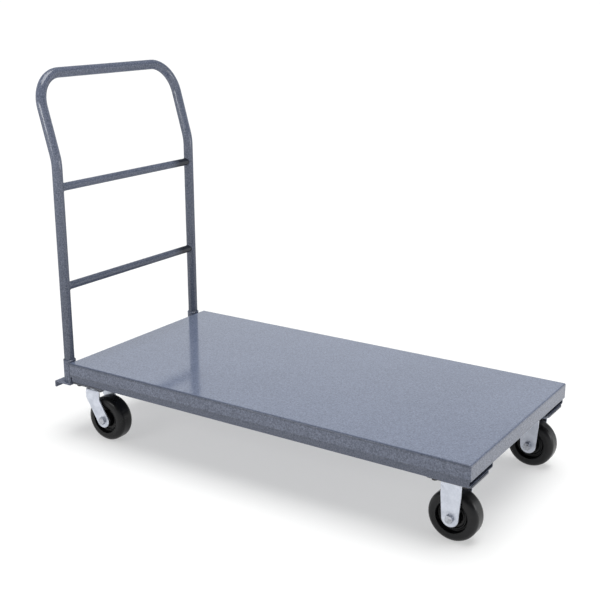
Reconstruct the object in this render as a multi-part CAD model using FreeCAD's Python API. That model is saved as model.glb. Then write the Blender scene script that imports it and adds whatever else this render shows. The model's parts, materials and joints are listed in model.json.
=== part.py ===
import FreeCAD, Part
import math
import os

# Steel platform truck with a lift-out bent-tube handle.
# Millimetres, +Z up, +X towards the front (the rigid casters), +Y to the left.
# The origin is on the floor, at the centre of the whole truck's outline in plan.

Vector = FreeCAD.Vector
X_AXIS = Vector(1, 0, 0)
Y_AXIS = Vector(0, 1, 0)
Z_AXIS = Vector(0, 0, 1)

# ---- driving dimensions: deck and frame ----
DECK_LENGTH = 1219.2
DECK_WIDTH = 609.6
SHEET = 2.7                  # 12 gauge sheet
SKIRT_DEPTH = 40.0
DECK_BEND_RADIUS = 4.5
FRAME_DEPTH = 57.0           # deck top to the underside of the rails
RAIL_WIDTH = 133.0
RAIL_BEND_RADIUS = 4.0
RAIL_CLEARANCE = 2.0          # keeps the rails off the bends inside the skirt
BRACE_WIDTH = 76.0
BRACE_DEPTH = 38.0
SHELF_PLATE = 4.8
SHELF_REACH = 58.4           # how far the rear shelf stands out behind the deck
SHELF_UPSTAND = 50.0
SHELF_LIP = 19.0

# ---- driving dimensions: handle ----
HANDLE_TUBE_RADIUS = 14.3
HANDLE_TUBE_WALL = 2.1
HANDLE_SIDE_INSET = 26.5     # leg centre to the deck's long edge
HANDLE_BEND_HEIGHT = 559.5   # above the deck
HANDLE_TOP_HEIGHT = 786.5    # centre of the top bar above the deck
HANDLE_TOP_SETBACK = 63.7    # how far the top bar stands behind the legs
HANDLE_BEND_RADIUS = 135.0
HANDLE_CORNER_RADIUS = 88.0
CROSSBAR_RADIUS = 11.1
CROSSBAR_WALL = 1.8
CROSSBAR_HEIGHTS = {"lower": 212.0, "upper": 489.0}
SOCKET_RADIUS = 17.45
SOCKET_BORE_RADIUS = 14.65
SOCKET_RISE = 1.5            # socket mouth above the deck
SOCKET_MOUTH_CHAMFER = 1.0
SOCKET_FLOOR_GAP = 0.3       # tube end above the shelf

# ---- driving dimensions: casters, all four ----
CASTER_HEIGHT = 165.1
CASTER_END_INSET = 59.5      # plate centre to the deck's end
CASTER_SIDE_INSETS = {"front": 64.5, "rear": 57.0}
SWIVEL_TRAIL = 37.0          # rear axles stand ahead of their swivel axis
PLATE_LENGTH = 114.3
PLATE_WIDTH = 101.6
PLATE_THICKNESS = 4.8
PLATE_CORNER_RADIUS = 8.0
BOLT_SPACING = 76.2          # both ways
BOLT_SLOT_RADIUS = 5.2
BOLT_SLOT_LENGTH = 17.0
FORK_INNER_HALF_WIDTH = 29.0
FORK_SHEET = 4.5
FORK_CORNER_RADIUS = 9.0
FORK_EDGE_ROUND = 0.8
LEG_END_RADIUS = 21.2
RIGID_LEG_HALF_WIDTH = 25.5
SWIVEL_LEG_REAR = 22.3       # swivel axis to the leg's rear edge
SWIVEL_LEG_FRONT = 26.5
LEG_SHOULDER_Z = 121.0       # where the legs start to narrow or slope to their round end
DIMPLE_SPREAD = 18.5         # pressed dimples at the top of each rigid leg
DIMPLE_DROP = 15.0
DIMPLE_BALL_RADIUS = 14.0
DIMPLE_DEPTH = 1.5

# ---- driving dimensions: wheels and axles ----
WHEEL_RADIUS = 63.5
TREAD_HALF_WIDTH = 25.4
SHOULDER_RADIUS = 15.0
HUB_HALF_LENGTH = 27.4
HUB_RADIUS = 21.5
WHEEL_BORE_RADIUS = 15.1
RIM_INNER_RADIUS = 40.5
RIM_DRAFT = 1.5
RIM_EDGE_ROUND = 1.2
WEB_HALF_WIDTH = 11.0
RIB_INNER_RADIUS = 31.0       # raised ring between the hub and the rim
RIB_OUTER_RADIUS = 34.0
RIB_HEIGHT = 5.0
RIB_DRAFT = 1.0
HUB_DRAFT = 2.0
HUB_EDGE_ROUND = 1.2
WEB_CORNER_ROUND = 2.0
ROLLER_COUNT = 9
ROLLER_RADIUS = 2.72
ROLLER_LENGTH = 44.0
ROLLER_CIRCLE = 12.32
CAGE_INNER_RADIUS = 11.0
CAGE_OUTER_RADIUS = 13.6
CAGE_LENGTH = 50.0
CAGE_POCKET_GAP = 0.15
AXLE_RADIUS = 6.35
AXLE_HOLE_RADIUS = 6.5
AXLE_HEX = 19.0              # across flats
AXLE_HEAD_HEIGHT = 7.9
AXLE_NUT_HEIGHT = 11.0
AXLE_TIP = 2.0               # thread showing past the nut
BUSHING_RADIUS = 9.5
WASHER_RADIUS = 20.0
WASHER_THICKNESS = 1.2

# ---- driving dimensions: swivel head, from the plate down ----
RACE_RADIUS = 25.0           # circle of the upper balls
RACE_DISC_RADIUS = 31.0
RACE_BOSS_HEIGHT = 4.0       # raceway pressed down from the plate
UPPER_BALL_RADIUS = 3.175
UPPER_BALL_COUNT = 18
UPPER_BALL_SINK = 1.5        # how deep an upper ball sits in each groove
LOWER_RACE_RADIUS = 15.0
LOWER_BALL_RADIUS = 2.38
LOWER_BALL_COUNT = 14
LOWER_BALL_SINK = 1.0
GROOVE_GAP = 0.1
FORK_DISC_HEIGHT = 2.4
KINGPIN_RADIUS = 6.35
KINGPIN_RUNNING_GAP = 0.07
KINGPIN_HEAD_RADIUS = 11.5
KINGPIN_HEAD_HEIGHT = 4.0
KINGPIN_HEX = 19.0
KINGPIN_NUT_HEIGHT = 7.0
KINGPIN_TIP = 2.0
RETAINER_RADIUS = 21.0
RETAINER_THICKNESS = 3.2

# ---- driving dimensions: mounting bolts ----
MOUNT_BOLT_RADIUS = 4.76
MOUNT_HEX = 14.3             # across flats
MOUNT_HEAD_HEIGHT = 6.0
MOUNT_NUT_HEIGHT = 8.2
MOUNT_BOLT_TIP = 2.5         # thread showing above the nut
HEX_CROWN = 0.8              # share of a hexagon's corners that is chamfered off
FIT_GAP = 0.05               # radial play of a pin or thread in its hole
TOLERANCE = 0.01             # for finding edges by where they lie
NEAR = 1.0                   # for finding the edges at one end of a section

# ---- derived positions ----
SIDES = {"right": -1, "left": 1}
ENDS = ("front", "rear")
DECK_TOP = CASTER_HEIGHT + FRAME_DEPTH
DECK_UNDERSIDE = DECK_TOP - SHEET
HALF_WIDTH = DECK_WIDTH / 2
SHELF_TOP = CASTER_HEIGHT - SHELF_PLATE
HANDLE_BACK = SHELF_PLATE + SOCKET_RADIUS
REAR_REACH = HANDLE_BACK + HANDLE_TOP_SETBACK + HANDLE_TUBE_RADIUS
FRONT_REACH = DECK_LENGTH - CASTER_END_INSET + WHEEL_RADIUS
REAR_X = -(FRONT_REACH - REAR_REACH) / 2
FRONT_X = REAR_X + DECK_LENGTH
HANDLE_X = REAR_X - HANDLE_BACK
HANDLE_Y = HALF_WIDTH - HANDLE_SIDE_INSET
CASTER_X = {"front": FRONT_X - CASTER_END_INSET, "rear": REAR_X + CASTER_END_INSET}
CASTER_Y = {end: HALF_WIDTH - CASTER_SIDE_INSETS[end] for end in ENDS}
RAIL_OUTER_Y = HALF_WIDTH - SHEET - RAIL_CLEARANCE
RAIL_INNER_Y = RAIL_OUTER_Y - RAIL_WIDTH
PLATE_UNDERSIDE = CASTER_HEIGHT - PLATE_THICKNESS
FORK_OUTER_HALF_WIDTH = FORK_INNER_HALF_WIDTH + FORK_SHEET
BOSS_UNDERSIDE = PLATE_UNDERSIDE - RACE_BOSS_HEIGHT
UPPER_BALL_Z = BOSS_UNDERSIDE + UPPER_BALL_SINK - UPPER_BALL_RADIUS
FORK_DISC_TOP = UPPER_BALL_Z - UPPER_BALL_RADIUS + UPPER_BALL_SINK
FORK_WEB_TOP = FORK_DISC_TOP - FORK_DISC_HEIGHT
FORK_WEB_UNDERSIDE = FORK_WEB_TOP - FORK_SHEET
LOWER_BALL_Z = FORK_WEB_UNDERSIDE + LOWER_BALL_SINK - LOWER_BALL_RADIUS
RETAINER_TOP = LOWER_BALL_Z - LOWER_BALL_RADIUS + LOWER_BALL_SINK
RETAINER_UNDERSIDE = RETAINER_TOP - RETAINER_THICKNESS
KINGPIN_NUT_UNDERSIDE = RETAINER_UNDERSIDE - KINGPIN_NUT_HEIGHT


# ---- small helpers ----
def box(low, high):
    """A block between two corners."""
    size = high.sub(low)
    return Part.makeBox(size.x, size.y, size.z, low)


def edges_along(shape, axis, keep):
    """Straight edges parallel to an axis whose middle point satisfies keep()."""
    found = []
    for edge in shape.Edges:
        if not isinstance(edge.Curve, Part.Line):
            continue
        if abs(edge.tangentAt(edge.FirstParameter).dot(axis)) < 1 - TOLERANCE:
            continue
        if keep(edge.CenterOfMass):
            found.append(edge)
    return found


def tube(radius, bore, length, base, axis=Z_AXIS):
    """A plain round tube, or a ring or washer when short."""
    outer = Part.makeCylinder(radius, length, base, axis)
    return outer.cut(Part.makeCylinder(bore, length, base, axis))


def hexagon(across_flats, height, base, axis):
    """A hexagonal prism with lightly rounded ends, for bolt heads and nuts."""
    corner = across_flats / math.sqrt(3)
    points = []
    for step in range(7):
        turn = math.radians(60 * step)
        points.append(Vector(corner * math.cos(turn), corner * math.sin(turn), 0))
    prism = Part.Face(Part.makePolygon(points)).extrude(Vector(0, 0, height))
    blank = Part.makeCylinder(corner, height)
    rims = [edge for edge in blank.Edges if edge.Closed]
    crown = blank.makeChamfer((corner - across_flats / 2) * HEX_CROWN, rims)
    shaped = prism.common(crown)
    shaped.Placement = FreeCAD.Placement(base, FreeCAD.Rotation(Z_AXIS, axis))
    return shaped


def rounded_path(corners, radii):
    """Straight runs joined by tangent arcs, with a radius for each inner corner, or 0 for a sharp one."""
    edges = []
    start = corners[0]
    for before, corner, after, radius in zip(corners[:-2], corners[1:-1], corners[2:], radii):
        arriving = (corner - before).normalize()
        leaving = (after - corner).normalize()
        half_turn = arriving.getAngle(leaving) / 2
        setback = radius * math.tan(half_turn)
        arc_start = corner - arriving * setback
        edges.append(Part.LineSegment(start, arc_start).toShape())
        start = corner + leaving * setback
        if radius > 0:
            inward = (leaving - arriving).normalize()
            arc_middle = corner + inward * (radius / math.cos(half_turn) - radius)
            edges.append(Part.Arc(arc_start, arc_middle, start).toShape())
    edges.append(Part.LineSegment(start, corners[-1]).toShape())
    return Part.Wire(edges)


def caster_centre(end, side):
    """The point on the floor under the middle of a caster's plate."""
    return Vector(CASTER_X[end], side * CASTER_Y[end], 0)


def plate_bolt_points(end, side):
    """Where a caster's four mounting bolts stand in plan."""
    half = BOLT_SPACING / 2
    centre = caster_centre(end, side)
    return [centre + Vector(along, across, 0) for along in (-half, half) for across in (-half, half)]


# ---- deck and frame ----
def deck_pan():
    """Folded sheet: flat top with a skirt on all four sides, open underneath."""
    outer = box(Vector(REAR_X, -HALF_WIDTH, DECK_TOP - SKIRT_DEPTH), Vector(FRONT_X, HALF_WIDTH, DECK_TOP))
    inner = box(Vector(REAR_X + SHEET, -HALF_WIDTH + SHEET, DECK_TOP - SKIRT_DEPTH),
                Vector(FRONT_X - SHEET, HALF_WIDTH - SHEET, DECK_UNDERSIDE))

    def rounded(block, radius, top):
        upper = [e for e in block.Edges if abs(e.CenterOfMass.z - top) < TOLERANCE]
        upright = edges_along(block, Z_AXIS, lambda middle: True)
        return block.makeFillet(radius, upper + upright)

    shell = rounded(outer, DECK_BEND_RADIUS, DECK_TOP)
    return shell.cut(rounded(inner, DECK_BEND_RADIUS - SHEET, DECK_UNDERSIDE))


def side_rail(side):
    """Channel lying on its back under a long edge: web below, flanges up to the deck, ends open."""
    y_values = sorted((side * RAIL_INNER_Y, side * RAIL_OUTER_Y))
    rear = REAR_X + SHEET + RAIL_CLEARANCE
    front = FRONT_X - SHEET - RAIL_CLEARANCE
    outer = box(Vector(rear, y_values[0], CASTER_HEIGHT), Vector(front, y_values[1], DECK_UNDERSIDE))
    inner = box(Vector(rear, y_values[0] + SHEET, CASTER_HEIGHT + SHEET),
                Vector(front, y_values[1] - SHEET, DECK_UNDERSIDE))
    bends = edges_along(outer, X_AXIS, lambda middle: middle.z < CASTER_HEIGHT + NEAR)
    inner_bends = edges_along(inner, X_AXIS, lambda middle: middle.z < CASTER_HEIGHT + SHEET + NEAR)
    rail = outer.makeFillet(RAIL_BEND_RADIUS, bends)
    rail = rail.cut(inner.makeFillet(RAIL_BEND_RADIUS - SHEET, inner_bends))
    for end in ENDS:
        for point in plate_bolt_points(end, side):
            hole = Part.makeCylinder(BOLT_SLOT_RADIUS, SHEET, point + Z_AXIS * CASTER_HEIGHT)
            rail = rail.cut(hole)
    return rail


def cross_brace(centre_x):
    """Channel across the truck between the rails, its flanges up against the deck."""
    low_z = DECK_UNDERSIDE - BRACE_DEPTH
    half = BRACE_WIDTH / 2
    outer = box(Vector(centre_x - half, -RAIL_INNER_Y, low_z),
                Vector(centre_x + half, RAIL_INNER_Y, DECK_UNDERSIDE))
    inner = box(Vector(centre_x - half + SHEET, -RAIL_INNER_Y, low_z + SHEET),
                Vector(centre_x + half - SHEET, RAIL_INNER_Y, DECK_UNDERSIDE))
    bends = edges_along(outer, Y_AXIS, lambda middle: middle.z < low_z + NEAR)
    return outer.makeFillet(RAIL_BEND_RADIUS, bends).cut(inner)


def rear_shelf():
    """Bent plate across the rear: upstand on the skirt, shelf under the sockets, lip turned down."""
    top = SHELF_TOP
    under = top - SHELF_PLATE
    outer_x = REAR_X - SHELF_REACH
    corners = [
        (REAR_X, under), (REAR_X, top + SHELF_UPSTAND), (REAR_X - SHELF_PLATE, top + SHELF_UPSTAND),
        (REAR_X - SHELF_PLATE, top), (outer_x, top), (outer_x, top - SHELF_LIP),
        (outer_x + SHELF_PLATE, top - SHELF_LIP), (outer_x + SHELF_PLATE, under), (REAR_X, under),
    ]
    outline = Part.makePolygon([Vector(x, -HALF_WIDTH, z) for x, z in corners])
    plate = Part.Face(outline).extrude(Y_AXIS * DECK_WIDTH)
    bend = Vector(outer_x, 0, top)
    outside = edges_along(plate, Y_AXIS, lambda middle: middle.distanceToPoint(bend) < TOLERANCE)
    return plate.makeFillet(SHELF_PLATE, outside)


def handle_socket(side):
    """Short tube standing on the shelf behind the skirt; a handle leg drops into it."""
    base = Vector(HANDLE_X, side * HANDLE_Y, SHELF_TOP)
    length = DECK_TOP + SOCKET_RISE - SHELF_TOP
    socket = tube(SOCKET_RADIUS, SOCKET_BORE_RADIUS, length, base)
    mouth = [e for e in socket.Edges if e.Closed and abs(e.CenterOfMass.z - base.z - length) < TOLERANCE]
    return socket.makeChamfer(SOCKET_MOUTH_CHAMFER, mouth)


# ---- handle ----
def handle_path():
    """Centre line of the bent tube: up one leg, back at the bend, over the top and down the other."""
    top_x = HANDLE_X - HANDLE_TOP_SETBACK
    foot_z = SHELF_TOP + SOCKET_FLOOR_GAP
    right_leg = [
        Vector(HANDLE_X, -HANDLE_Y, foot_z),
        Vector(HANDLE_X, -HANDLE_Y, DECK_TOP + HANDLE_BEND_HEIGHT),
        Vector(top_x, -HANDLE_Y, DECK_TOP + HANDLE_TOP_HEIGHT),
    ]
    left_leg = [Vector(point.x, -point.y, point.z) for point in reversed(right_leg)]
    radii = [HANDLE_BEND_RADIUS, HANDLE_CORNER_RADIUS, HANDLE_CORNER_RADIUS, HANDLE_BEND_RADIUS]
    return rounded_path(right_leg + left_leg, radii)


def sweep_round(path, radius):
    """A round bar along a smooth path that starts straight up."""
    start = path.OrderedVertexes[0].Point
    section = Part.Wire(Part.makeCircle(radius, start, Z_AXIS))
    sweep = Part.BRepOffsetAPI.MakePipeShell(path)
    sweep.add(section)
    sweep.build()
    sweep.makeSolid()
    return sweep.shape()


def handle_tube():
    """The bent tube itself, hollow, with open ends."""
    path = handle_path()
    outside = sweep_round(path, HANDLE_TUBE_RADIUS)
    return outside.cut(sweep_round(path, HANDLE_TUBE_RADIUS - HANDLE_TUBE_WALL))


def handle_crossbar(height):
    """Straight tube between the legs, its ends coped to sit on them."""
    centre_z = DECK_TOP + height
    base = Vector(HANDLE_X, -HANDLE_Y, centre_z)
    bar = tube(CROSSBAR_RADIUS, CROSSBAR_RADIUS - CROSSBAR_WALL, 2 * HANDLE_Y, base, Y_AXIS)
    for side in SIDES.values():
        leg_base = Vector(HANDLE_X, side * HANDLE_Y, centre_z - CROSSBAR_RADIUS)
        bar = bar.cut(Part.makeCylinder(HANDLE_TUBE_RADIUS, 2 * CROSSBAR_RADIUS, leg_base))
    return bar


# ---- caster plates, bolts and nuts ----
def caster_plate(end, side):
    """Mounting plate with rounded corners and four slots."""
    centre = caster_centre(end, side) + Z_AXIS * PLATE_UNDERSIDE
    half = Vector(PLATE_LENGTH / 2, PLATE_WIDTH / 2, 0)
    plate = box(centre - half, centre + half + Z_AXIS * PLATE_THICKNESS)
    plate = plate.makeFillet(PLATE_CORNER_RADIUS, edges_along(plate, Z_AXIS, lambda middle: True))
    reach = BOLT_SLOT_LENGTH / 2 - BOLT_SLOT_RADIUS
    for point in plate_bolt_points(end, side):
        low = point + Z_AXIS * PLATE_UNDERSIDE
        slot = box(low + Vector(-reach, -BOLT_SLOT_RADIUS, 0),
                   low + Vector(reach, BOLT_SLOT_RADIUS, PLATE_THICKNESS))
        for shift in (-reach, reach):
            slot = slot.fuse(Part.makeCylinder(BOLT_SLOT_RADIUS, PLATE_THICKNESS, low + X_AXIS * shift))
        plate = plate.cut(slot)
    return plate


def caster_bolts(end, side):
    """Four hexagon bolts, heads under the plate, shanks up through plate and rail."""
    tip = CASTER_HEIGHT + SHEET + MOUNT_NUT_HEIGHT + MOUNT_BOLT_TIP
    bolts = []
    for point in plate_bolt_points(end, side):
        seat = point + Z_AXIS * PLATE_UNDERSIDE
        shank = Part.makeCylinder(MOUNT_BOLT_RADIUS, tip - PLATE_UNDERSIDE, seat)
        head = hexagon(MOUNT_HEX, MOUNT_HEAD_HEIGHT, seat, Z_AXIS * -1)
        bolts.append(shank.fuse(head).removeSplitter())
    return Part.makeCompound(bolts)


def caster_nuts(end, side):
    """Four hexagon nuts on the rail's web, inside the channel."""
    nuts = []
    for point in plate_bolt_points(end, side):
        low = point + Z_AXIS * (CASTER_HEIGHT + SHEET)
        nut = hexagon(MOUNT_HEX, MOUNT_NUT_HEIGHT, low, Z_AXIS)
        nuts.append(nut.cut(Part.makeCylinder(MOUNT_BOLT_RADIUS + FIT_GAP, MOUNT_NUT_HEIGHT, low)))
    return Part.makeCompound(nuts)


# ---- forks ----
def u_section(web_top, centre, half_length):
    """Pressed channel, open downwards, that straddles a wheel."""
    outer = box(Vector(centre.x - half_length, centre.y - FORK_OUTER_HALF_WIDTH, 0),
                Vector(centre.x + half_length, centre.y + FORK_OUTER_HALF_WIDTH, web_top))
    inner = box(Vector(centre.x - half_length, centre.y - FORK_INNER_HALF_WIDTH, 0),
                Vector(centre.x + half_length, centre.y + FORK_INNER_HALF_WIDTH, web_top - FORK_SHEET))
    outer_bends = edges_along(outer, X_AXIS, lambda middle: middle.z > web_top - NEAR)
    inner_bends = edges_along(inner, X_AXIS, lambda middle: middle.z > web_top - FORK_SHEET - NEAR)
    outer = outer.makeFillet(FORK_CORNER_RADIUS, outer_bends)
    return outer.cut(inner.makeFillet(FORK_CORNER_RADIUS - FORK_SHEET, inner_bends))


def tangent_points(point, centre, radius):
    """The two points where lines from a point touch a circle, both in the XZ plane."""
    gap = point.sub(centre)
    distance = math.hypot(gap.x, gap.z)
    bearing = math.atan2(gap.z, gap.x)
    swing = math.acos(radius / distance)
    touches = []
    for way in (-swing, swing):
        touches.append(centre + Vector(radius * math.cos(bearing + way), 0, radius * math.sin(bearing + way)))
    return touches


def leg_slab(axle, web_top, rear_x, front_x):
    """Side outline of the legs as a slab across the fork: upright edges, then tangents to a round end."""
    start_y = axle.y - FORK_OUTER_HALF_WIDTH
    centre = Vector(axle.x, start_y, axle.z)
    rear_corner = Vector(rear_x, start_y, LEG_SHOULDER_Z)
    front_corner = Vector(front_x, start_y, LEG_SHOULDER_Z)
    rear_touch = min(tangent_points(rear_corner, centre, LEG_END_RADIUS), key=lambda p: p.x)
    front_touch = max(tangent_points(front_corner, centre, LEG_END_RADIUS), key=lambda p: p.x)
    tip = centre - Z_AXIS * LEG_END_RADIUS
    rear_top = Vector(rear_x, start_y, web_top)
    front_top = Vector(front_x, start_y, web_top)
    edges = [
        Part.LineSegment(rear_top, rear_corner).toShape(),
        Part.LineSegment(rear_corner, rear_touch).toShape(),
        Part.Arc(rear_touch, tip, front_touch).toShape(),
        Part.LineSegment(front_touch, front_corner).toShape(),
        Part.LineSegment(front_corner, front_top).toShape(),
        Part.LineSegment(front_top, rear_top).toShape(),
    ]
    return Part.Face(Part.Wire(edges)).extrude(Y_AXIS * (2 * FORK_OUTER_HALF_WIDTH))


def soften_edges(fork):
    """Rounds the sheared edges all round the pressed channel; the lines along its bends stay smooth."""
    bend_lines = edges_along(fork, X_AXIS, lambda middle: True)
    sheared = [edge for edge in fork.Edges if not any(edge.isSame(line) for line in bend_lines)]
    return fork.makeFillet(FORK_EDGE_ROUND, sheared)


def axle_hole(axle):
    """The hole for the axle bolt through both legs."""
    start = axle - Y_AXIS * FORK_OUTER_HALF_WIDTH
    return Part.makeCylinder(AXLE_HOLE_RADIUS, 2 * FORK_OUTER_HALF_WIDTH, start, Y_AXIS)


def rigid_fork(side):
    """Fixed front fork, hung square under its plate, with two pressed dimples at the top of each leg."""
    axle = wheel_centre("front", side)
    rear = axle.x - RIGID_LEG_HALF_WIDTH
    front = axle.x + RIGID_LEG_HALF_WIDTH
    fork = u_section(PLATE_UNDERSIDE, axle, RIGID_LEG_HALF_WIDTH)
    fork = fork.common(leg_slab(axle, PLATE_UNDERSIDE, rear, front))
    fork = soften_edges(fork)
    away = FORK_OUTER_HALF_WIDTH + DIMPLE_BALL_RADIUS - DIMPLE_DEPTH
    for along in (-DIMPLE_SPREAD, DIMPLE_SPREAD):
        for across in (-away, away):
            place = Vector(axle.x + along, axle.y + across, PLATE_UNDERSIDE - DIMPLE_DROP)
            fork = fork.cut(Part.makeSphere(DIMPLE_BALL_RADIUS, place))
    return fork.cut(axle_hole(axle))


# ---- swivel head ----
def ball_groove(centre, height, race_radius, ball_radius):
    """Ring of slightly more than the balls' radius, to be cut from a raceway."""
    return Part.makeTorus(race_radius, ball_radius + GROOVE_GAP, centre + Z_AXIS * height, Z_AXIS)


def kingpin_head_cone(centre, gap):
    """Countersunk head of the kingpin, or with a gap the seat for it."""
    low = centre + Z_AXIS * (CASTER_HEIGHT - KINGPIN_HEAD_HEIGHT)
    return Part.makeCone(KINGPIN_RADIUS + gap, KINGPIN_HEAD_RADIUS + gap, KINGPIN_HEAD_HEIGHT, low)


def swivel_plate(side):
    """Rear mounting plate with a pressed raceway ring and a countersunk kingpin hole."""
    centre = caster_centre("rear", side)
    low = centre + Z_AXIS * BOSS_UNDERSIDE
    plate = caster_plate("rear", side).fuse(Part.makeCylinder(RACE_DISC_RADIUS, RACE_BOSS_HEIGHT, low))
    plate = plate.cut(ball_groove(centre, UPPER_BALL_Z, RACE_RADIUS, UPPER_BALL_RADIUS))
    plate = plate.cut(Part.makeCylinder(KINGPIN_RADIUS + FIT_GAP, CASTER_HEIGHT - BOSS_UNDERSIDE, low))
    return plate.cut(kingpin_head_cone(centre, FIT_GAP))


def kingpin(side):
    """Fixed pin on the swivel axis, its countersunk head flush with the plate."""
    centre = caster_centre("rear", side)
    low = KINGPIN_NUT_UNDERSIDE - KINGPIN_TIP
    shank = Part.makeCylinder(KINGPIN_RADIUS, CASTER_HEIGHT - low, centre + Z_AXIS * low)
    return shank.fuse(kingpin_head_cone(centre, 0)).removeSplitter()


def kingpin_nut(side):
    """Hexagon nut that holds the ball retainer up."""
    low = caster_centre("rear", side) + Z_AXIS * KINGPIN_NUT_UNDERSIDE
    nut = hexagon(KINGPIN_HEX, KINGPIN_NUT_HEIGHT, low, Z_AXIS)
    return nut.cut(Part.makeCylinder(KINGPIN_RADIUS + FIT_GAP, KINGPIN_NUT_HEIGHT, low))


def ball_retainer(side):
    """Lower raceway washer under the fork."""
    centre = caster_centre("rear", side)
    low = centre + Z_AXIS * RETAINER_UNDERSIDE
    washer = tube(RETAINER_RADIUS, KINGPIN_RADIUS + FIT_GAP, RETAINER_THICKNESS, low)
    return washer.cut(ball_groove(centre, LOWER_BALL_Z, LOWER_RACE_RADIUS, LOWER_BALL_RADIUS))


def swivel_balls(side):
    """Both rings of steel balls, above and below the fork."""
    centre = caster_centre("rear", side)
    rings = [
        (UPPER_BALL_COUNT, RACE_RADIUS, UPPER_BALL_RADIUS, UPPER_BALL_Z),
        (LOWER_BALL_COUNT, LOWER_RACE_RADIUS, LOWER_BALL_RADIUS, LOWER_BALL_Z),
    ]
    balls = []
    for count, race_radius, ball_radius, height in rings:
        for step in range(count):
            turn = 2 * math.pi * step / count
            place = Vector(race_radius * math.cos(turn), race_radius * math.sin(turn), height)
            balls.append(Part.makeSphere(ball_radius, centre + place))
    return Part.makeCompound(balls)


def swivel_fork(side):
    """Rear fork: raceway disc on top, legs that slope to the trailing axle."""
    centre = caster_centre("rear", side)
    axle = wheel_centre("rear", side)
    rear = centre.x - SWIVEL_LEG_REAR
    front = centre.x + SWIVEL_LEG_FRONT
    fork = u_section(FORK_WEB_TOP, centre, SWIVEL_TRAIL + LEG_END_RADIUS)
    fork = fork.common(leg_slab(axle, FORK_WEB_TOP, rear, front))
    fork = soften_edges(fork)
    web = Part.makeCylinder(RACE_DISC_RADIUS, FORK_SHEET, centre + Z_AXIS * FORK_WEB_UNDERSIDE)
    disc = Part.makeCylinder(RACE_DISC_RADIUS, FORK_DISC_HEIGHT, centre + Z_AXIS * FORK_WEB_TOP)
    fork = fork.fuse(web).fuse(disc).removeSplitter()
    fork = fork.cut(ball_groove(centre, UPPER_BALL_Z, RACE_RADIUS, UPPER_BALL_RADIUS))
    fork = fork.cut(ball_groove(centre, LOWER_BALL_Z, LOWER_RACE_RADIUS, LOWER_BALL_RADIUS))
    fork = fork.cut(Part.makeCylinder(KINGPIN_RADIUS + KINGPIN_RUNNING_GAP, CASTER_HEIGHT, centre))
    return fork.cut(axle_hole(axle))


# ---- wheels and axles ----
def wheel_centre(end, side):
    """Middle of a wheel: front ones under their plate, rear ones trailing the swivel axis."""
    trail = SWIVEL_TRAIL if end == "rear" else 0
    return caster_centre(end, side) + Vector(trail, 0, WHEEL_RADIUS)


def wheel(end, side):
    """Moulded wheel in one piece: rounded tread, deep web with a raised ring, long hub, through bore."""
    centre = wheel_centre(end, side)
    rib_width = WEB_HALF_WIDTH + RIB_HEIGHT
    outline = [
        (WHEEL_BORE_RADIUS, HUB_HALF_LENGTH, HUB_EDGE_ROUND),
        (HUB_RADIUS, HUB_HALF_LENGTH, HUB_EDGE_ROUND),
        (HUB_RADIUS + HUB_DRAFT, WEB_HALF_WIDTH, WEB_CORNER_ROUND),
        (RIB_INNER_RADIUS - RIB_DRAFT, WEB_HALF_WIDTH, HUB_EDGE_ROUND),
        (RIB_INNER_RADIUS, rib_width, HUB_EDGE_ROUND),
        (RIB_OUTER_RADIUS, rib_width, HUB_EDGE_ROUND),
        (RIB_OUTER_RADIUS + RIB_DRAFT, WEB_HALF_WIDTH, HUB_EDGE_ROUND),
        (RIM_INNER_RADIUS - RIM_DRAFT, WEB_HALF_WIDTH, WEB_CORNER_ROUND),
        (RIM_INNER_RADIUS, TREAD_HALF_WIDTH, RIM_EDGE_ROUND),
        (WHEEL_RADIUS, TREAD_HALF_WIDTH, SHOULDER_RADIUS),
    ]
    outline += [(radius, -across, rounding) for radius, across, rounding in reversed(outline)]
    bore_middle = centre + X_AXIS * WHEEL_BORE_RADIUS
    corners = [centre + Vector(radius, across, 0) for radius, across, rounding in outline]
    path = rounded_path([bore_middle] + corners + [bore_middle], [corner[2] for corner in outline])
    return Part.Face(path).revolve(centre, Y_AXIS, 360)


def wheel_bearing(end, side):
    """Caged rollers between the wheel's bore and the bushing."""
    centre = wheel_centre(end, side)
    start = centre - Y_AXIS * (CAGE_LENGTH / 2)
    cage = tube(CAGE_OUTER_RADIUS, CAGE_INNER_RADIUS, CAGE_LENGTH, start, Y_AXIS)
    rollers = []
    for step in range(ROLLER_COUNT):
        turn = 2 * math.pi * step / ROLLER_COUNT
        place = centre + Vector(math.cos(turn), 0, math.sin(turn)) * ROLLER_CIRCLE
        roller_start = place - Y_AXIS * (ROLLER_LENGTH / 2)
        pocket_start = roller_start - Y_AXIS * CAGE_POCKET_GAP
        pocket_length = ROLLER_LENGTH + 2 * CAGE_POCKET_GAP
        pocket = Part.makeCylinder(ROLLER_RADIUS + CAGE_POCKET_GAP, pocket_length, pocket_start, Y_AXIS)
        cage = cage.cut(pocket)
        rollers.append(Part.makeCylinder(ROLLER_RADIUS, ROLLER_LENGTH, roller_start, Y_AXIS))
    return Part.makeCompound([cage] + rollers)


def axle_bushing(end, side):
    """Steel sleeve clamped between the fork legs; the rollers run on it."""
    start = wheel_centre(end, side) - Y_AXIS * FORK_INNER_HALF_WIDTH
    return tube(BUSHING_RADIUS, AXLE_RADIUS + FIT_GAP, 2 * FORK_INNER_HALF_WIDTH, start, Y_AXIS)


def hub_washers(end, side):
    """Two thrust washers, one against each fork leg."""
    centre = wheel_centre(end, side)
    washers = []
    for start in (-FORK_INNER_HALF_WIDTH, FORK_INNER_HALF_WIDTH - WASHER_THICKNESS):
        base = centre + Y_AXIS * start
        washers.append(tube(WASHER_RADIUS, BUSHING_RADIUS + FIT_GAP, WASHER_THICKNESS, base, Y_AXIS))
    return Part.makeCompound(washers)


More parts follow.
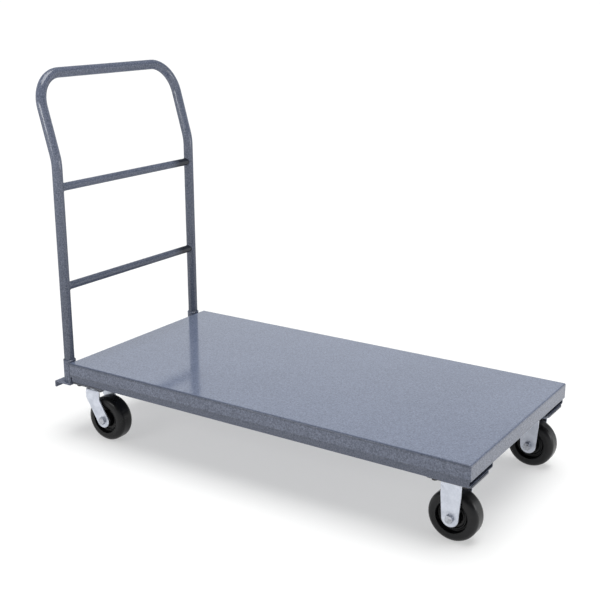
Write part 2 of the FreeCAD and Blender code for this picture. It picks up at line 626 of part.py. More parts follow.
def axle_bolt(end, side):
    """Hexagon bolt through the fork, its head on the outer side of the truck."""
    outward = Y_AXIS * side
    seat = wheel_centre(end, side) + outward * FORK_OUTER_HALF_WIDTH
    length = 2 * FORK_OUTER_HALF_WIDTH + AXLE_NUT_HEIGHT + AXLE_TIP
    shank = Part.makeCylinder(AXLE_RADIUS, length, seat, outward * -1)
    return shank.fuse(hexagon(AXLE_HEX, AXLE_HEAD_HEIGHT, seat, outward)).removeSplitter()


def axle_nut(end, side):
    """Lock nut on the inner side of the fork."""
    inward = Y_AXIS * -side
    seat = wheel_centre(end, side) + inward * FORK_OUTER_HALF_WIDTH
    nut = hexagon(AXLE_HEX, AXLE_NUT_HEIGHT, seat, inward)
    return nut.cut(Part.makeCylinder(AXLE_RADIUS + FIT_GAP, AXLE_NUT_HEIGHT, seat, inward))


# ---- the whole truck ----
def all_parts():
    """Every separate piece, by name."""
    parts = {"deck_pan": deck_pan(), "rear_shelf": rear_shelf(), "handle_tube": handle_tube()}
    brace_places = {"front": CASTER_X["front"], "middle": (FRONT_X + REAR_X) / 2, "rear": CASTER_X["rear"]}
    for name, centre_x in brace_places.items():
        parts["cross_brace_" + name] = cross_brace(centre_x)
    for name, height in CROSSBAR_HEIGHTS.items():
        parts["handle_crossbar_" + name] = handle_crossbar(height)
    for name, side in SIDES.items():
        parts["side_rail_" + name] = side_rail(side)
        parts["handle_socket_" + name] = handle_socket(side)
        parts["rigid_plate_" + name] = caster_plate("front", side)
        parts["rigid_fork_" + name] = rigid_fork(side)
        parts["swivel_plate_" + name] = swivel_plate(side)
        parts["swivel_fork_" + name] = swivel_fork(side)
        parts["swivel_balls_" + name] = swivel_balls(side)
        parts["kingpin_" + name] = kingpin(side)
        parts["kingpin_nut_" + name] = kingpin_nut(side)
        parts["ball_retainer_" + name] = ball_retainer(side)
        for end in ENDS:
            place = end + "_" + name
            parts["caster_bolts_" + place] = caster_bolts(end, side)
            parts["caster_nuts_" + place] = caster_nuts(end, side)
            parts["wheel_" + place] = wheel(end, side)
            parts["wheel_bearing_" + place] = wheel_bearing(end, side)
            parts["axle_bushing_" + place] = axle_bushing(end, side)
            parts["hub_washers_" + place] = hub_washers(end, side)
            parts["axle_bolt_" + place] = axle_bolt(end, side)
            parts["axle_nut_" + place] = axle_nut(end, side)
    return parts


os.makedirs("parts", exist_ok=True)
for node, shape in all_parts().items():
    if not shape.isValid():
        print("not valid:", node)
    shape.exportStep("parts/" + node + ".step")
    bounds = shape.BoundBox
    print("%-30s solids %2d  volume %12.1f  x %8.1f %8.1f  y %8.1f %8.1f  z %7.1f %7.1f" % (
        node, len(shape.Solids), shape.Volume, bounds.XMin, bounds.XMax,
        bounds.YMin, bounds.YMax, bounds.ZMin, bounds.ZMax))
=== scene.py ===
import json
import math
import random

import bmesh
import bpy
from mathutils import Euler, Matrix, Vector


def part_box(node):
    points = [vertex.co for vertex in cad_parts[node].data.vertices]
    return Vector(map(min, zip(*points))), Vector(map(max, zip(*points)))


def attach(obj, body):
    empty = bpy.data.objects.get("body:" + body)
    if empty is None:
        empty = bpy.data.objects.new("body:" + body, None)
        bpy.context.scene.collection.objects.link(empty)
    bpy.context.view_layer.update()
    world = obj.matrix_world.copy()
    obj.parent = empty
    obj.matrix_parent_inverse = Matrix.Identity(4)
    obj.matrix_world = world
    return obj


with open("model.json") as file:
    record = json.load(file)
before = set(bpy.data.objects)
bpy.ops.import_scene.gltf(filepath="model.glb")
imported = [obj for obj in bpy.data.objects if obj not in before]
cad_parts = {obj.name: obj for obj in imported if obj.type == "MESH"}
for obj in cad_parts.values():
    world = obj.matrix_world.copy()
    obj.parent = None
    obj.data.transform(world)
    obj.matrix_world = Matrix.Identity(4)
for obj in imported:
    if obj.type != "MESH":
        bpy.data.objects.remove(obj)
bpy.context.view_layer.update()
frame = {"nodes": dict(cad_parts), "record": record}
nodes = frame["nodes"]
SIDES = {"right": -1, "left": 1}
MM = 0.001


# ---- places taken from the frame ----
def low(node):
    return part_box(node)[0]


def high(node):
    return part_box(node)[1]


def middle(node):
    return (low(node) + high(node)) / 2


DECK_LOW, DECK_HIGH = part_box("deck_pan")
SHELF_TOP = high("rear_shelf").z
LEG_Y = middle("handle_socket_left").y
LEG_RADIUS = high("handle_tube").y - LEG_Y
SOCKET_RADIUS = (high("handle_socket_left").y - low("handle_socket_left").y) / 2


# ---- node helpers ----
def maths_node(tree, operation, first, second):
    """Joins two values by a sum, a product or a maximum."""
    node = tree.nodes.new("ShaderNodeMath")
    node.operation = operation
    tree.links.new(first, node.inputs[0])
    tree.links.new(second, node.inputs[1])
    return node.outputs["Value"]


def range_node(tree, value, from_low, from_high, to_low, to_high):
    """Maps a value from one range to another, clamped."""
    node = tree.nodes.new("ShaderNodeMapRange")
    numbers = {"From Min": from_low, "From Max": from_high, "To Min": to_low, "To Max": to_high}
    for name, number in numbers.items():
        node.inputs[name].default_value = number
    tree.links.new(value, node.inputs["Value"])
    return node.outputs["Result"]


class Recipe:
    """A material under construction, with short ways to add the nodes that these finishes share."""

    def __init__(self, name):
        self.material = bpy.data.materials.new(name)
        self.material.use_nodes = True
        self.tree = self.material.node_tree
        self.shader = self.tree.nodes["Principled BSDF"]
        self.place = self.tree.nodes.new("ShaderNodeTexCoord").outputs["Object"]

    def set(self, **sockets):
        """Plain values on the shader's own sockets."""
        for name, value in sockets.items():
            self.shader.inputs[name.replace("_", " ")].default_value = value

    def link(self, output, socket):
        self.tree.links.new(output, self.shader.inputs[socket])

    def stretched(self, scale):
        """The object's coordinates, scaled differently along X, Y and Z."""
        node = self.tree.nodes.new("ShaderNodeMapping")
        node.inputs["Scale"].default_value = scale
        self.tree.links.new(self.place, node.inputs["Vector"])
        return node.outputs["Vector"]

    def noise(self, scale, detail=3.0, roughness=0.5, place=None):
        node = self.tree.nodes.new("ShaderNodeTexNoise")
        node.inputs["Scale"].default_value = scale
        node.inputs["Detail"].default_value = detail
        node.inputs["Roughness"].default_value = roughness
        self.tree.links.new(place or self.place, node.inputs["Vector"])
        return node.outputs["Fac"]

    def cells(self, scale):
        node = self.tree.nodes.new("ShaderNodeTexVoronoi")
        node.inputs["Scale"].default_value = scale
        self.tree.links.new(self.place, node.inputs["Vector"])
        return node.outputs["Color"]

    def spread(self, value, from_low, from_high, to_low, to_high):
        return range_node(self.tree, value, from_low, from_high, to_low, to_high)

    def clouds(self, texture, start, end, first, second):
        """Two colours in soft clouds, changing over between two values of a texture."""
        return self.blend(self.spread(texture, start, end, 0.0, 1.0), first, second)

    def blend(self, factor, first, second):
        """Mixes two colours, each a tuple or another node's output."""
        node = self.tree.nodes.new("ShaderNodeMix")
        node.data_type = "RGBA"
        colour_inputs = [socket for socket in node.inputs if socket.type == "RGBA"]
        for socket, colour in zip(colour_inputs, (first, second)):
            if isinstance(colour, tuple):
                socket.default_value = (*colour, 1.0)
            else:
                self.tree.links.new(colour, socket)
        self.tree.links.new(factor, node.inputs["Factor"])
        return [socket for socket in node.outputs if socket.type == "RGBA"][0]

    def sum(self, first, second):
        return maths_node(self.tree, "ADD", first, second)

    def product(self, first, second):
        return maths_node(self.tree, "MULTIPLY", first, second)

    def split(self, vector):
        """The X, Y and Z of a vector."""
        node = self.tree.nodes.new("ShaderNodeSeparateXYZ")
        self.tree.links.new(vector, node.inputs["Vector"])
        return node.outputs

    def distance_from(self, centre):
        """How far a point is from a centre along X, Y and Z, always positive."""
        shift = self.tree.nodes.new("ShaderNodeVectorMath")
        shift.operation = "SUBTRACT"
        shift.inputs[1].default_value = centre
        self.tree.links.new(self.place, shift.inputs[0])
        size = self.tree.nodes.new("ShaderNodeVectorMath")
        size.operation = "ABSOLUTE"
        self.tree.links.new(shift.outputs["Vector"], size.inputs[0])
        return self.split(size.outputs["Vector"])

    def bump(self, height, strength, depth):
        node = self.tree.nodes.new("ShaderNodeBump")
        node.inputs["Strength"].default_value = strength
        node.inputs["Distance"].default_value = depth
        self.tree.links.new(height, node.inputs["Height"])
        self.link(node.outputs["Normal"], "Normal")


# ---- materials ----
DECK_BEND = 5.0 * MM
TOP_SKIN = 1.5 * MM
END_BEND_SHARE = 0.35


def deck_masks(recipe):
    """Two masks: 1 on the deck's flat top, and up to 1 on the folded edges round it."""
    half = (DECK_HIGH - DECK_LOW) / 2
    along, across, up = recipe.distance_from((DECK_HIGH + DECK_LOW) / 2)
    on_top = recipe.spread(up, half.z - TOP_SKIN, half.z - TOP_SKIN / 3, 0.0, 1.0)
    at_ends = recipe.spread(along, half.x - DECK_BEND, half.x - DECK_BEND / 2, 0.0, END_BEND_SHARE)
    at_sides = recipe.spread(across, half.y - DECK_BEND, half.y - DECK_BEND / 2, 0.0, 1.0)
    high_up = recipe.spread(up, half.z - DECK_BEND * 1.6, half.z - DECK_BEND, 0.0, 1.0)
    edges = recipe.spread(recipe.sum(at_ends, at_sides), 0.0, 1.0, 0.0, 1.0)
    return on_top, recipe.product(edges, high_up)


# Each look: the two base colours, the light and dark grains with their shares, and the fine fleck.
SIDES_LOOK = {
    "base": ((0.096, 0.112, 0.160), (0.110, 0.127, 0.178)),
    "light_grain": (0.230, 0.250, 0.320), "light_share": 0.65,
    "dark_grain": (0.032, 0.038, 0.056), "dark_share": 0.75,
    "fleck": (0.270, 0.295, 0.360), "fleck_start": 0.56, "fleck_share": 0.50,
}
# The top's look has a lighter, bluer base than the sides' look: painted light for the top, which
# faces the light. Its finer speckle is the top's own.
TOP_LOOK = {
    "base": ((0.112, 0.135, 0.200), (0.124, 0.149, 0.218)),
    "light_grain": (0.230, 0.258, 0.340), "light_share": 0.50,
    "dark_grain": (0.040, 0.048, 0.072), "dark_share": 0.55,
    "fleck": (0.270, 0.300, 0.380), "fleck_start": 0.54, "fleck_share": 0.45,
}
LIGHT_GRAIN_RANGE = (0.50, 0.72)
DARK_GRAIN_RANGE = (0.28, 0.50)
FLECK_END = 0.70
# Painted shade: the dark colour below, with the shares after it, darkens the deck's folded edges,
# the rails, the lower handle and the crossbars' far ends.
SHADE_COLOUR = (0.006, 0.007, 0.010)
BEND_SHADE = 0.32
RAIL_SHADE = (0.16, 0.24)
LEG_SHADE = 0.30
LEG_SHADE_START = DECK_HIGH.z + 0.1
LEG_SHADE_END = DECK_HIGH.z + 0.6
FAR_END_SHADE = 0.85
FAR_END_SHADE_START = 84 * MM
FAR_END_SHADE_FULL = 42 * MM
# Gloss of the round and narrow parts: it falls off where the surface turns away from the eye.
EDGE_GLOSS = (0.25, 0.58, 0.50, 0.05)


def speckled(recipe, look, broad, grains, fleck):
    """The enamel's colour: cloudy base, light and dark grains, and a fine fleck on top."""
    colour = recipe.clouds(broad, 0.35, 0.65, *look["base"])
    lighter = recipe.spread(grains, *LIGHT_GRAIN_RANGE, 0.0, look["light_share"])
    colour = recipe.blend(lighter, colour, look["light_grain"])
    darker = recipe.spread(grains, *DARK_GRAIN_RANGE, look["dark_share"], 0.0)
    colour = recipe.blend(darker, colour, look["dark_grain"])
    flecks = recipe.spread(fleck, look["fleck_start"], FLECK_END, 0.0, look["fleck_share"])
    return recipe.blend(flecks, colour, look["fleck"])


def grey_enamel(kind="plain"):
    """Semi-gloss blue-grey enamel with a fine fleck, faint orange peel and light handling marks.

    The deck's top has a finer speckle and a lighter, bluer base that is painted light; the deck's
    folded edges, the rails, the lower handle and the crossbars' far ends are darkened as painted
    shade.
    """
    recipe = Recipe(kind + "_enamel_finish")
    broad = recipe.noise(3.0, detail=2.0)
    grains = recipe.noise(290.0, detail=2.0, roughness=0.6)
    fleck = recipe.noise(900.0, detail=2.0, roughness=0.7)
    colour = speckled(recipe, SIDES_LOOK, broad, grains, fleck)
    if kind == "deck":
        on_top, on_bend = deck_masks(recipe)
        # The deck's top gets the lighter, bluer look: painted light.
        colour = recipe.blend(on_top, colour, speckled(recipe, TOP_LOOK, broad, grains, fleck))
        # Painted shade along the deck's folded edges.
        colour = recipe.blend(recipe.spread(on_bend, 0.0, 1.0, 0.0, BEND_SHADE), colour, SHADE_COLOUR)
    if kind == "rail":
        # Painted shade on the rails, which sit recessed under the deck's skirt; its strength is
        # cloudy.
        colour = recipe.blend(recipe.spread(broad, 0.30, 0.70, *RAIL_SHADE), colour, SHADE_COLOUR)
    if kind in ("handle", "crossbar"):
        # Painted shade: the handle and crossbars get darker towards the bottom.
        height = recipe.split(recipe.place)[2]
        low_shade = recipe.spread(height, LEG_SHADE_START, LEG_SHADE_END, LEG_SHADE, 0.0)
        colour = recipe.blend(low_shade, colour, SHADE_COLOUR)
    if kind == "crossbar":
        # Painted shade at the crossbars' far ends, beside the far leg.
        end = high("handle_crossbar_upper").y
        across = recipe.split(recipe.place)[1]
        far_end_shade = recipe.spread(across, end - FAR_END_SHADE_START, end - FAR_END_SHADE_FULL, 0.0, FAR_END_SHADE)
        colour = recipe.blend(far_end_shade, colour, SHADE_COLOUR)
    recipe.link(colour, "Base Color")
    marks = recipe.noise(9.0, detail=6.0, roughness=0.7)
    recipe.link(recipe.spread(marks, 0.40, 0.70, 0.09, 0.15), "Roughness")
    peel = recipe.noise(210.0, detail=1.0)
    recipe.bump(recipe.sum(peel, recipe.noise(700.0, detail=1.0)), 0.06, 0.3 * MM)
    recipe.set(IOR=1.5)
    if kind != "deck":
        edge = recipe.tree.nodes.new("ShaderNodeLayerWeight").outputs["Facing"]
        recipe.link(recipe.spread(edge, *EDGE_GLOSS), "Specular IOR Level")
    return recipe.material


def zinc_plate():
    """Bright zinc plating over pressed steel: cloudy, faintly blue, with fine rolling lines."""
    recipe = Recipe("zinc_plate_finish")
    cloud = recipe.noise(45.0, detail=4.0, roughness=0.6)
    colour = recipe.clouds(cloud, 0.35, 0.65, (0.50, 0.53, 0.60), (0.64, 0.67, 0.745))
    spangle = recipe.cells(230.0)
    colour = recipe.blend(recipe.spread(spangle, 0.0, 1.0, 0.0, 0.16), colour, (0.85, 0.87, 0.92))
    recipe.link(colour, "Base Color")
    recipe.link(recipe.spread(recipe.noise(120.0, detail=4.0), 0.3, 0.7, 0.30, 0.48), "Roughness")
    lines = recipe.noise(900.0, detail=2.0, place=recipe.stretched((1.0, 1.0, 0.06)))
    recipe.bump(recipe.sum(lines, cloud), 0.12, 0.25 * MM)
    recipe.set(Metallic=0.85)
    return recipe.material


def zinc_dull():
    """Dull grey zinc on thick plate with rough sheared edges; its dark colour is painted shade for
    the plates under the deck.
    """
    recipe = Recipe("zinc_dull_finish")
    cloud = recipe.noise(70.0, detail=5.0, roughness=0.65)
    # The dark base colour is painted shade.
    colour = recipe.clouds(cloud, 0.35, 0.65, (0.070, 0.075, 0.092), (0.125, 0.133, 0.155))
    recipe.link(colour, "Base Color")
    recipe.link(recipe.spread(cloud, 0.3, 0.7, 0.62, 0.48), "Roughness")
    shear = recipe.noise(600.0, detail=3.0, place=recipe.stretched((1.0, 1.0, 0.15)))
    recipe.bump(recipe.sum(shear, cloud), 0.2, 0.3 * MM)
    recipe.set(Metallic=0.5)
    return recipe.material


def zinc_fastener():
    """Duller zinc on turned and forged fasteners, darker in the pores."""
    recipe = Recipe("zinc_fastener_finish")
    cloud = recipe.noise(300.0, detail=5.0, roughness=0.65)
    colour = recipe.clouds(cloud, 0.35, 0.62, (0.26, 0.27, 0.30), (0.58, 0.60, 0.65))
    recipe.link(colour, "Base Color")
    recipe.link(recipe.spread(cloud, 0.3, 0.7, 0.50, 0.32), "Roughness")
    recipe.bump(recipe.noise(1500.0, detail=3.0), 0.15, 0.2 * MM)
    recipe.set(Metallic=0.9)
    return recipe.material


def black_fastener():
    """Dark steel, slightly oily, with a little brown in it; its near-black colour is painted shade
    for nuts that sit in deep shade.
    """
    recipe = Recipe("black_fastener_finish")
    cloud = recipe.noise(260.0, detail=4.0)
    # Near-black base: painted shade.
    colour = recipe.clouds(cloud, 0.35, 0.65, (0.020, 0.020, 0.023), (0.050, 0.046, 0.043))
    recipe.link(colour, "Base Color")
    recipe.link(recipe.spread(cloud, 0.3, 0.7, 0.30, 0.50), "Roughness")
    recipe.bump(recipe.noise(1400.0, detail=2.0), 0.12, 0.2 * MM)
    recipe.set(Metallic=0.6)
    return recipe.material


def bearing_steel():
    """Ground steel with a thin film of oil and dark streaks of grease."""
    recipe = Recipe("bearing_steel_finish")
    streak = recipe.noise(90.0, detail=5.0, roughness=0.7)
    colour = recipe.clouds(streak, 0.45, 0.7, (0.56, 0.56, 0.57), (0.16, 0.13, 0.10))
    recipe.link(colour, "Base Color")
    recipe.link(recipe.spread(streak, 0.3, 0.7, 0.18, 0.42), "Roughness")
    recipe.bump(recipe.noise(1800.0, detail=1.0), 0.08, 0.1 * MM)
    recipe.set(Metallic=1.0)
    return recipe.material


def wheel_black():
    """Moulded black resin: dark satin with fine grain, a cloudy sheen and faint dust."""
    recipe = Recipe("wheel_black_finish")
    cloud = recipe.noise(28.0, detail=5.0, roughness=0.65)
    colour = recipe.clouds(cloud, 0.35, 0.70, (0.0024, 0.0024, 0.0029), (0.0078, 0.0080, 0.0092))
    grain = recipe.noise(700.0, detail=3.0, roughness=0.7)
    dust = recipe.spread(grain, 0.62, 0.80, 0.0, 0.35)
    colour = recipe.blend(dust, colour, (0.029, 0.029, 0.033))
    recipe.link(colour, "Base Color")
    recipe.link(recipe.spread(cloud, 0.3, 0.7, 0.24, 0.40), "Roughness")
    recipe.bump(recipe.sum(grain, recipe.noise(240.0, detail=2.0)), 0.12, 0.3 * MM)
    recipe.set(IOR=1.36)
    return recipe.material


def studio_floor():
    """Pale seamless studio floor."""
    recipe = Recipe("studio_floor_finish")
    cloud = recipe.noise(1.2, detail=2.0)
    recipe.link(recipe.blend(cloud, (0.46, 0.46, 0.455), (0.48, 0.48, 0.475)), "Base Color")
    recipe.set(Roughness=0.9)
    recipe.set(Specular_IOR_Level=0.1, Emission_Color=(1.0, 1.0, 1.0, 1.0), Emission_Strength=0.45)
    return recipe.material


FINISHES = {
    "grey_enamel": grey_enamel(),
    "zinc_plate": zinc_plate(),
    "zinc_dull": zinc_dull(),
    "zinc_fastener": zinc_fastener(),
    "black_fastener": black_fastener(),
    "bearing_steel": bearing_steel(),
    "wheel_black": wheel_black(),
}
CROSSBAR_ENAMEL = grey_enamel("crossbar")
RAIL_ENAMEL = grey_enamel("rail")
SPECIAL_FINISHES = {
    "deck_pan": grey_enamel("deck"),
    "handle_tube": grey_enamel("handle"),
    "handle_crossbar_lower": CROSSBAR_ENAMEL,
    "handle_crossbar_upper": CROSSBAR_ENAMEL,
    "side_rail_right": RAIL_ENAMEL,
    "side_rail_left": RAIL_ENAMEL,
}


def finish_nodes():
    """Gives every CAD node the finish of its material slot, or its own variant of that finish."""
    slots = {part["node"]: part["material_slot"] for part in frame["record"]["subparts"]}
    for name, node in nodes.items():
        for material_slot in node.material_slots:
            material_slot.material = SPECIAL_FINISHES.get(name, FINISHES[slots[name]])


# ---- mesh helpers ----
def new_piece(name, mesh, slot, body, smooth_angle=math.radians(40)):
    """Turns a bmesh into a piece with a finish, riding on a body."""
    bmesh.ops.recalc_face_normals(mesh, faces=mesh.faces)
    data = bpy.data.meshes.new(name)
    mesh.to_mesh(data)
    mesh.free()
    piece = bpy.data.objects.new(name, data)
    bpy.context.scene.collection.objects.link(piece)
    data.materials.append(FINISHES[slot])
    data.shade_smooth()
    data.set_sharp_from_angle(angle=smooth_angle)
    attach(piece, body)
    return piece


def ring_frame(direction):
    """Two unit vectors square to a direction."""
    helper = Vector((0, 0, 1)) if abs(direction.z) < 0.9 else Vector((1, 0, 0))
    across = direction.cross(helper).normalized()
    return across, direction.cross(across).normalized()


BEAD_STEP = 1.1 * MM
BEAD_SIDES = 9
BEAD_END_SIZE = 0.55
RIPPLE_PITCH = 2.6 * MM
RIPPLE_DEPTH = 0.16


def bead(mesh, points, radius, closed, chance):
    """Adds a weld bead with overlapping ripples along a line of points."""
    rings = []
    travelled = 0.0
    count = len(points)
    for index, point in enumerate(points):
        before = points[index - 1] if index or closed else points[0]
        after = points[(index + 1) % count] if index < count - 1 or closed else points[-1]
        direction = (after - before).normalized()
        across, upward = ring_frame(direction)
        travelled += (point - before).length if index else 0.0
        phase = (travelled / RIPPLE_PITCH) % 1.0
        size = radius * (1 - RIPPLE_DEPTH * phase + chance.uniform(-0.04, 0.04))
        if not closed and index in (0, count - 1):
            size *= BEAD_END_SIZE
        ring = []
        for side in range(BEAD_SIDES):
            turn = 2 * math.pi * side / BEAD_SIDES
            offset = across * math.cos(turn) + upward * math.sin(turn)
            ring.append(mesh.verts.new(point + offset * size))
        rings.append(ring)
    pairs = list(zip(rings, rings[1:] + rings[:1])) if closed else list(zip(rings, rings[1:]))
    for ring, following in pairs:
        for side in range(BEAD_SIDES):
            other = (side + 1) % BEAD_SIDES
            mesh.faces.new((ring[side], ring[other], following[other], following[side]))
    if not closed:
        mesh.faces.new(rings[0])
        mesh.faces.new(rings[-1])


def straight_points(start, end):
    steps = max(2, round((end - start).length / BEAD_STEP))
    return [start.lerp(end, step / steps) for step in range(steps + 1)]


# ---- welds on the handle ----
CROSSBAR_WELD_RADIUS = 1.7 * MM
CROSSBAR_WELD_STEPS = 72
WELD_STAND_OFF = 0.35


def crossbar_weld(name, side, chance):
    """Saddle-shaped bead where a crossbar meets a handle leg."""
    bar = "handle_crossbar_" + name
    centre = middle(bar)
    bar_radius = (high(bar).z - low(bar).z) / 2
    points = []
    for step in range(CROSSBAR_WELD_STEPS):
        turn = 2 * math.pi * step / CROSSBAR_WELD_STEPS
        reach = bar_radius + CROSSBAR_WELD_RADIUS * WELD_STAND_OFF
        x = reach * math.sin(turn)
        inward = math.sqrt(max(LEG_RADIUS ** 2 - x ** 2, 0)) + CROSSBAR_WELD_RADIUS * WELD_STAND_OFF
        z = reach * math.cos(turn)
        points.append(Vector((centre.x + x, side * (LEG_Y - inward), centre.z + z)))
    mesh = bmesh.new()
    bead(mesh, points, CROSSBAR_WELD_RADIUS, True, chance)
    return mesh


chance = random.Random(41)

for bar_name in ("lower", "upper"):
    for side_name, side in SIDES.items():
        weld = crossbar_weld(bar_name, side, chance)
        new_piece("crossbar_weld_" + bar_name + "_" + side_name, weld, "grey_enamel", "handle")


# ---- welds on the frame ----
FILLET_RADIUS = 2.8 * MM
FOOT_WELD_RADIUS = 1.7 * MM
FOOT_WELD_STAND_OFF = 0.3
SIDE_WELD_GAP = 0.8
SIDE_WELD_SINK = 0.4
SOCKET_WELD_STOP = 4 * MM
SOCKET_WELD_STEPS = 96
CORNER_WELD_RADIUS = 3.4 * MM
CORNER_WELD_INSET = 1.1
CORNER_WELD_ROWS = (0.4, 1.6)
CORNER_WELD_DEPTH = 46 * MM
CORNER_WELD_STOP = 1 * MM


def socket_welds(side, chance):
    """A bead round the socket's foot, and one down each side of it against the shelf's upstand."""
    socket = "handle_socket_" + ("right" if side < 0 else "left")
    centre = middle(socket)
    foot_z = low(socket).z + FILLET_RADIUS * FOOT_WELD_STAND_OFF
    mesh = bmesh.new()
    reach = SOCKET_RADIUS + FOOT_WELD_RADIUS * FOOT_WELD_STAND_OFF
    ring = []
    for step in range(SOCKET_WELD_STEPS):
        turn = 2 * math.pi * step / SOCKET_WELD_STEPS
        x, y = reach * math.cos(turn), reach * math.sin(turn)
        ring.append(Vector((centre.x + x, centre.y + y, foot_z)))
    bead(mesh, ring, FOOT_WELD_RADIUS, True, chance)
    gap = FILLET_RADIUS * SIDE_WELD_GAP
    swing = math.acos(1 - gap / SOCKET_RADIUS)
    for way in (-1, 1):
        x = centre.x + SOCKET_RADIUS - gap * SIDE_WELD_SINK
        y = centre.y + way * SOCKET_RADIUS * math.sin(swing)
        start = Vector((x, y, foot_z))
        end = Vector((x, y, SHELF_TOP - SOCKET_WELD_STOP))
        bead(mesh, straight_points(start, end), FILLET_RADIUS, False, chance)
    return mesh


def corner_weld(side, chance):
    """Closes the seam between the deck's rear corner, the shelf's upstand and the socket."""
    mesh = bmesh.new()
    seam_y = side * (DECK_HIGH.y - CORNER_WELD_RADIUS * CORNER_WELD_INSET)
    for row in CORNER_WELD_ROWS:
        x = DECK_LOW.x - CORNER_WELD_RADIUS * row
        start = Vector((x, seam_y, SHELF_TOP - CORNER_WELD_DEPTH))
        end = Vector((x, seam_y, SHELF_TOP - CORNER_WELD_STOP))
        bead(mesh, straight_points(start, end), CORNER_WELD_RADIUS, False, chance)
    return mesh


def stitch_row(start, end, count, length, radius, chance):
    """Short beads spaced evenly along a seam."""
    mesh = bmesh.new()
    run = end - start
    direction = run.normalized()
    for index in range(count):
        centre = start + run * ((index + 0.5) / count)
        half = direction * (length / 2 * chance.uniform(0.9, 1.1))
        bead(mesh, straight_points(centre - half, centre + half), radius, False, chance)
    return mesh


STITCH_COUNT = 6
STITCH_LENGTH = 32 * MM
STITCH_RADIUS = 1.7 * MM
STITCH_SINK = 0.4
RAIL_SEAM_INSET = 0.16
SHELF_STITCH_COUNT = 7
SHELF_STITCH_LENGTH = 38 * MM
SHELF_STITCH_RADIUS = 2.4 * MM
SHELF_SEAM_INSET = 0.03

for side_name, side in SIDES.items():
    new_piece("corner_weld_" + side_name, corner_weld(side, chance), "grey_enamel", "frame")
    new_piece("socket_weld_" + side_name, socket_welds(side, chance), "grey_enamel", "frame")
    flange_y = side * low("side_rail_left").y
    flange_top = high("side_rail_left").z - STITCH_RADIUS * STITCH_SINK
    seam_start = Vector((DECK_LOW.x + RAIL_SEAM_INSET, flange_y, flange_top))
    seam_end = Vector((DECK_HIGH.x - RAIL_SEAM_INSET, flange_y, flange_top))
    rail_seam = stitch_row(seam_start, seam_end, STITCH_COUNT, STITCH_LENGTH, STITCH_RADIUS, chance)
    new_piece("rail_weld_" + side_name, rail_seam, "grey_enamel", "frame")

shelf_seam_x = DECK_LOW.x - SHELF_STITCH_RADIUS / 2
shelf_seam = stitch_row(
    Vector((shelf_seam_x, DECK_LOW.y + SHELF_SEAM_INSET, SHELF_TOP)),
    Vector((shelf_seam_x, DECK_HIGH.y - SHELF_SEAM_INSET, SHELF_TOP)),
    SHELF_STITCH_COUNT, SHELF_STITCH_LENGTH, SHELF_STITCH_RADIUS, chance)
new_piece("shelf_weld", shelf_seam, "grey_enamel", "frame")


BRACE_WELD_RADIUS = 2.21 * MM
BRACE_WELD_START = 5 * MM
BRACE_WELD_STOP = 3 * MM


def brace_welds(name, chance):
    """Beads down both faces of a cross brace where its ends meet the rails."""
    brace_low, brace_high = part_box("cross_brace_" + name)
    mesh = bmesh.new()
    for x in (brace_low.x, brace_high.x):
        for y in (brace_low.y, brace_high.y):
            start = Vector((x, y, brace_low.z + BRACE_WELD_START))
            end = Vector((x, y, brace_high.z - BRACE_WELD_STOP))
            bead(mesh, straight_points(start, end), BRACE_WELD_RADIUS, False, chance)
    return mesh


for brace_name in ("front", "middle", "rear"):
    new_piece("brace_weld_" + brace_name, brace_welds(brace_name, chance), "grey_enamel", "frame")


# ---- studio ----
FLOOR_HALF_SIZE = 400.0
CAMERA_PLACE = Vector((DECK_LOW.x + 2.0578, -2.2799, DECK_HIGH.z + 1.0003))
CAMERA_YAW = math.radians(33.06)
CAMERA_PITCH = math.radians(16.37)
CAMERA_LENS = 63.26
SENSOR_WIDTH = 36.0


def build_floor():
    """A very wide pale floor, which fills the whole picture behind the truck."""
    mesh = bmesh.new()
    corners = [(-1, -1), (1, -1), (1, 1), (-1, 1)]
    mesh.faces.new([mesh.verts.new(Vector((x, y, 0)) * FLOOR_HALF_SIZE) for x, y in corners])
    data = bpy.data.meshes.new("studio_floor")
    mesh.to_mesh(data)
    mesh.free()
    floor = bpy.data.objects.new("studio_floor", data)
    bpy.context.scene.collection.objects.link(floor)
    data.materials.append(studio_floor())


def aim(lamp, place, target):
    """Puts a lamp at a place and turns it towards a point."""
    lamp.location = place
    lamp.rotation_euler = (Vector(target) - Vector(place)).to_track_quat("-Z", "Y").to_euler()
    bpy.context.scene.collection.objects.link(lamp)


def area_light(name, place, target, size, watts):
    """A soft box."""
    data = bpy.data.lights.new(name, "AREA")
    data.shape = "RECTANGLE"
    data.size, data.size_y = size
    data.energy = watts
    aim(bpy.data.objects.new(name, data), place, target)


def broad_light(name, place, target, strength, spread):
    """Even light from one side, as from a big ceiling panel far away."""
    data = bpy.data.lights.new(name, "SUN")
    data.energy = strength
    data.angle = math.radians(spread)
    aim(bpy.data.objects.new(name, data), place, target)


def build_camera():
    data = bpy.data.cameras.new("camera")
    data.lens = CAMERA_LENS
    data.sensor_width = SENSOR_WIDTH
    camera = bpy.data.objects.new("camera", data)
    camera.location = CAMERA_PLACE
    camera.rotation_euler = Euler((math.pi / 2 - CAMERA_PITCH, 0.0, CAMERA_YAW))
    bpy.context.scene.collection.objects.link(camera)
    bpy.context.scene.camera = camera


def towards_node(tree, direction, side):
    """How far a direction points to one side, from -1 to 1."""
    node = tree.nodes.new("ShaderNodeVectorMath")
    node.operation = "DOT_PRODUCT"
    node.inputs[1].default_value = side
    tree.links.new(direction, node.inputs[0])
    return node.outputs["Value"]


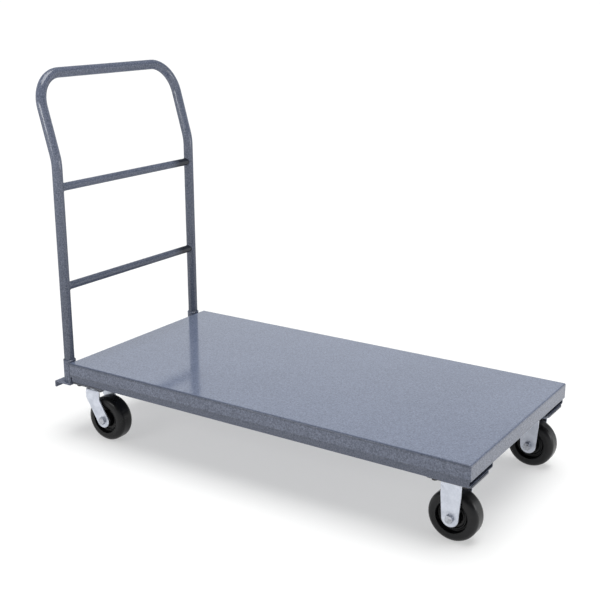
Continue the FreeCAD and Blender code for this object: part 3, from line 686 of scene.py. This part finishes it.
DARK_SIDE = (0.82, 0.57, 0.0)
BACKDROP_SIDE = (-0.545, 0.838, 0.0)
# How the brightness changes with direction: where it starts and ends, and the brightness there.
OVERHEAD_FADE = (0.36, 0.62, 1.06, 0.32)
DARK_SIDE_FADE = (0.40, 0.80, 1.0, 0.15)
BACKDROP_FADE = (-0.10, 0.70, 0.36, 1.0)
HORIZON_FADE = (0.22, 0.36, 1.0, 0.0)
SKY_COLOUR = (0.95, 0.975, 1.0, 1.0)


def build_world():
    """A white backdrop with a white band round the horizon; dimmer elsewhere, and dark overhead."""
    world = bpy.data.worlds.new("studio_world")
    world.use_nodes = True
    tree = world.node_tree
    direction = tree.nodes.new("ShaderNodeTexCoord").outputs["Generated"]
    split = tree.nodes.new("ShaderNodeSeparateXYZ")
    tree.links.new(direction, split.inputs["Vector"])
    overhead = range_node(tree, split.outputs["Z"], *OVERHEAD_FADE)
    forward = towards_node(tree, direction, DARK_SIDE)
    past_front = range_node(tree, forward, *DARK_SIDE_FADE)
    backward = towards_node(tree, direction, BACKDROP_SIDE)
    past_backdrop = range_node(tree, backward, *BACKDROP_FADE)
    near_horizon = range_node(tree, split.outputs["Z"], *HORIZON_FADE)
    sides = maths_node(tree, "MULTIPLY", past_front, past_backdrop)
    lowest = maths_node(tree, "MAXIMUM", sides, near_horizon)
    strength = maths_node(tree, "MULTIPLY", overhead, lowest)
    background = tree.nodes["Background"]
    background.inputs["Color"].default_value = SKY_COLOUR
    tree.links.new(strength, background.inputs["Strength"])
    bpy.context.scene.world = world


finish_nodes()
build_floor()
build_camera()
build_world()
# The ceiling light: place, target, strength and degrees. A soft box: place, target, size and watts.
broad_light("ceiling_light", (0.2, 0.3, 4.0), (0.0, 0.0, 0.0), 3.1, 50.0)
area_light("front_light", (2.3, 0.9, 0.75), (0.62, 0.0, 0.15), (1.0, 0.8), 9.5)
area_light("near_light", (-0.78, -1.75, 1.10), (-0.64, -0.28, 0.96), (0.90, 0.34), 7.0)
bpy.context.scene.view_settings.view_transform = "Standard"
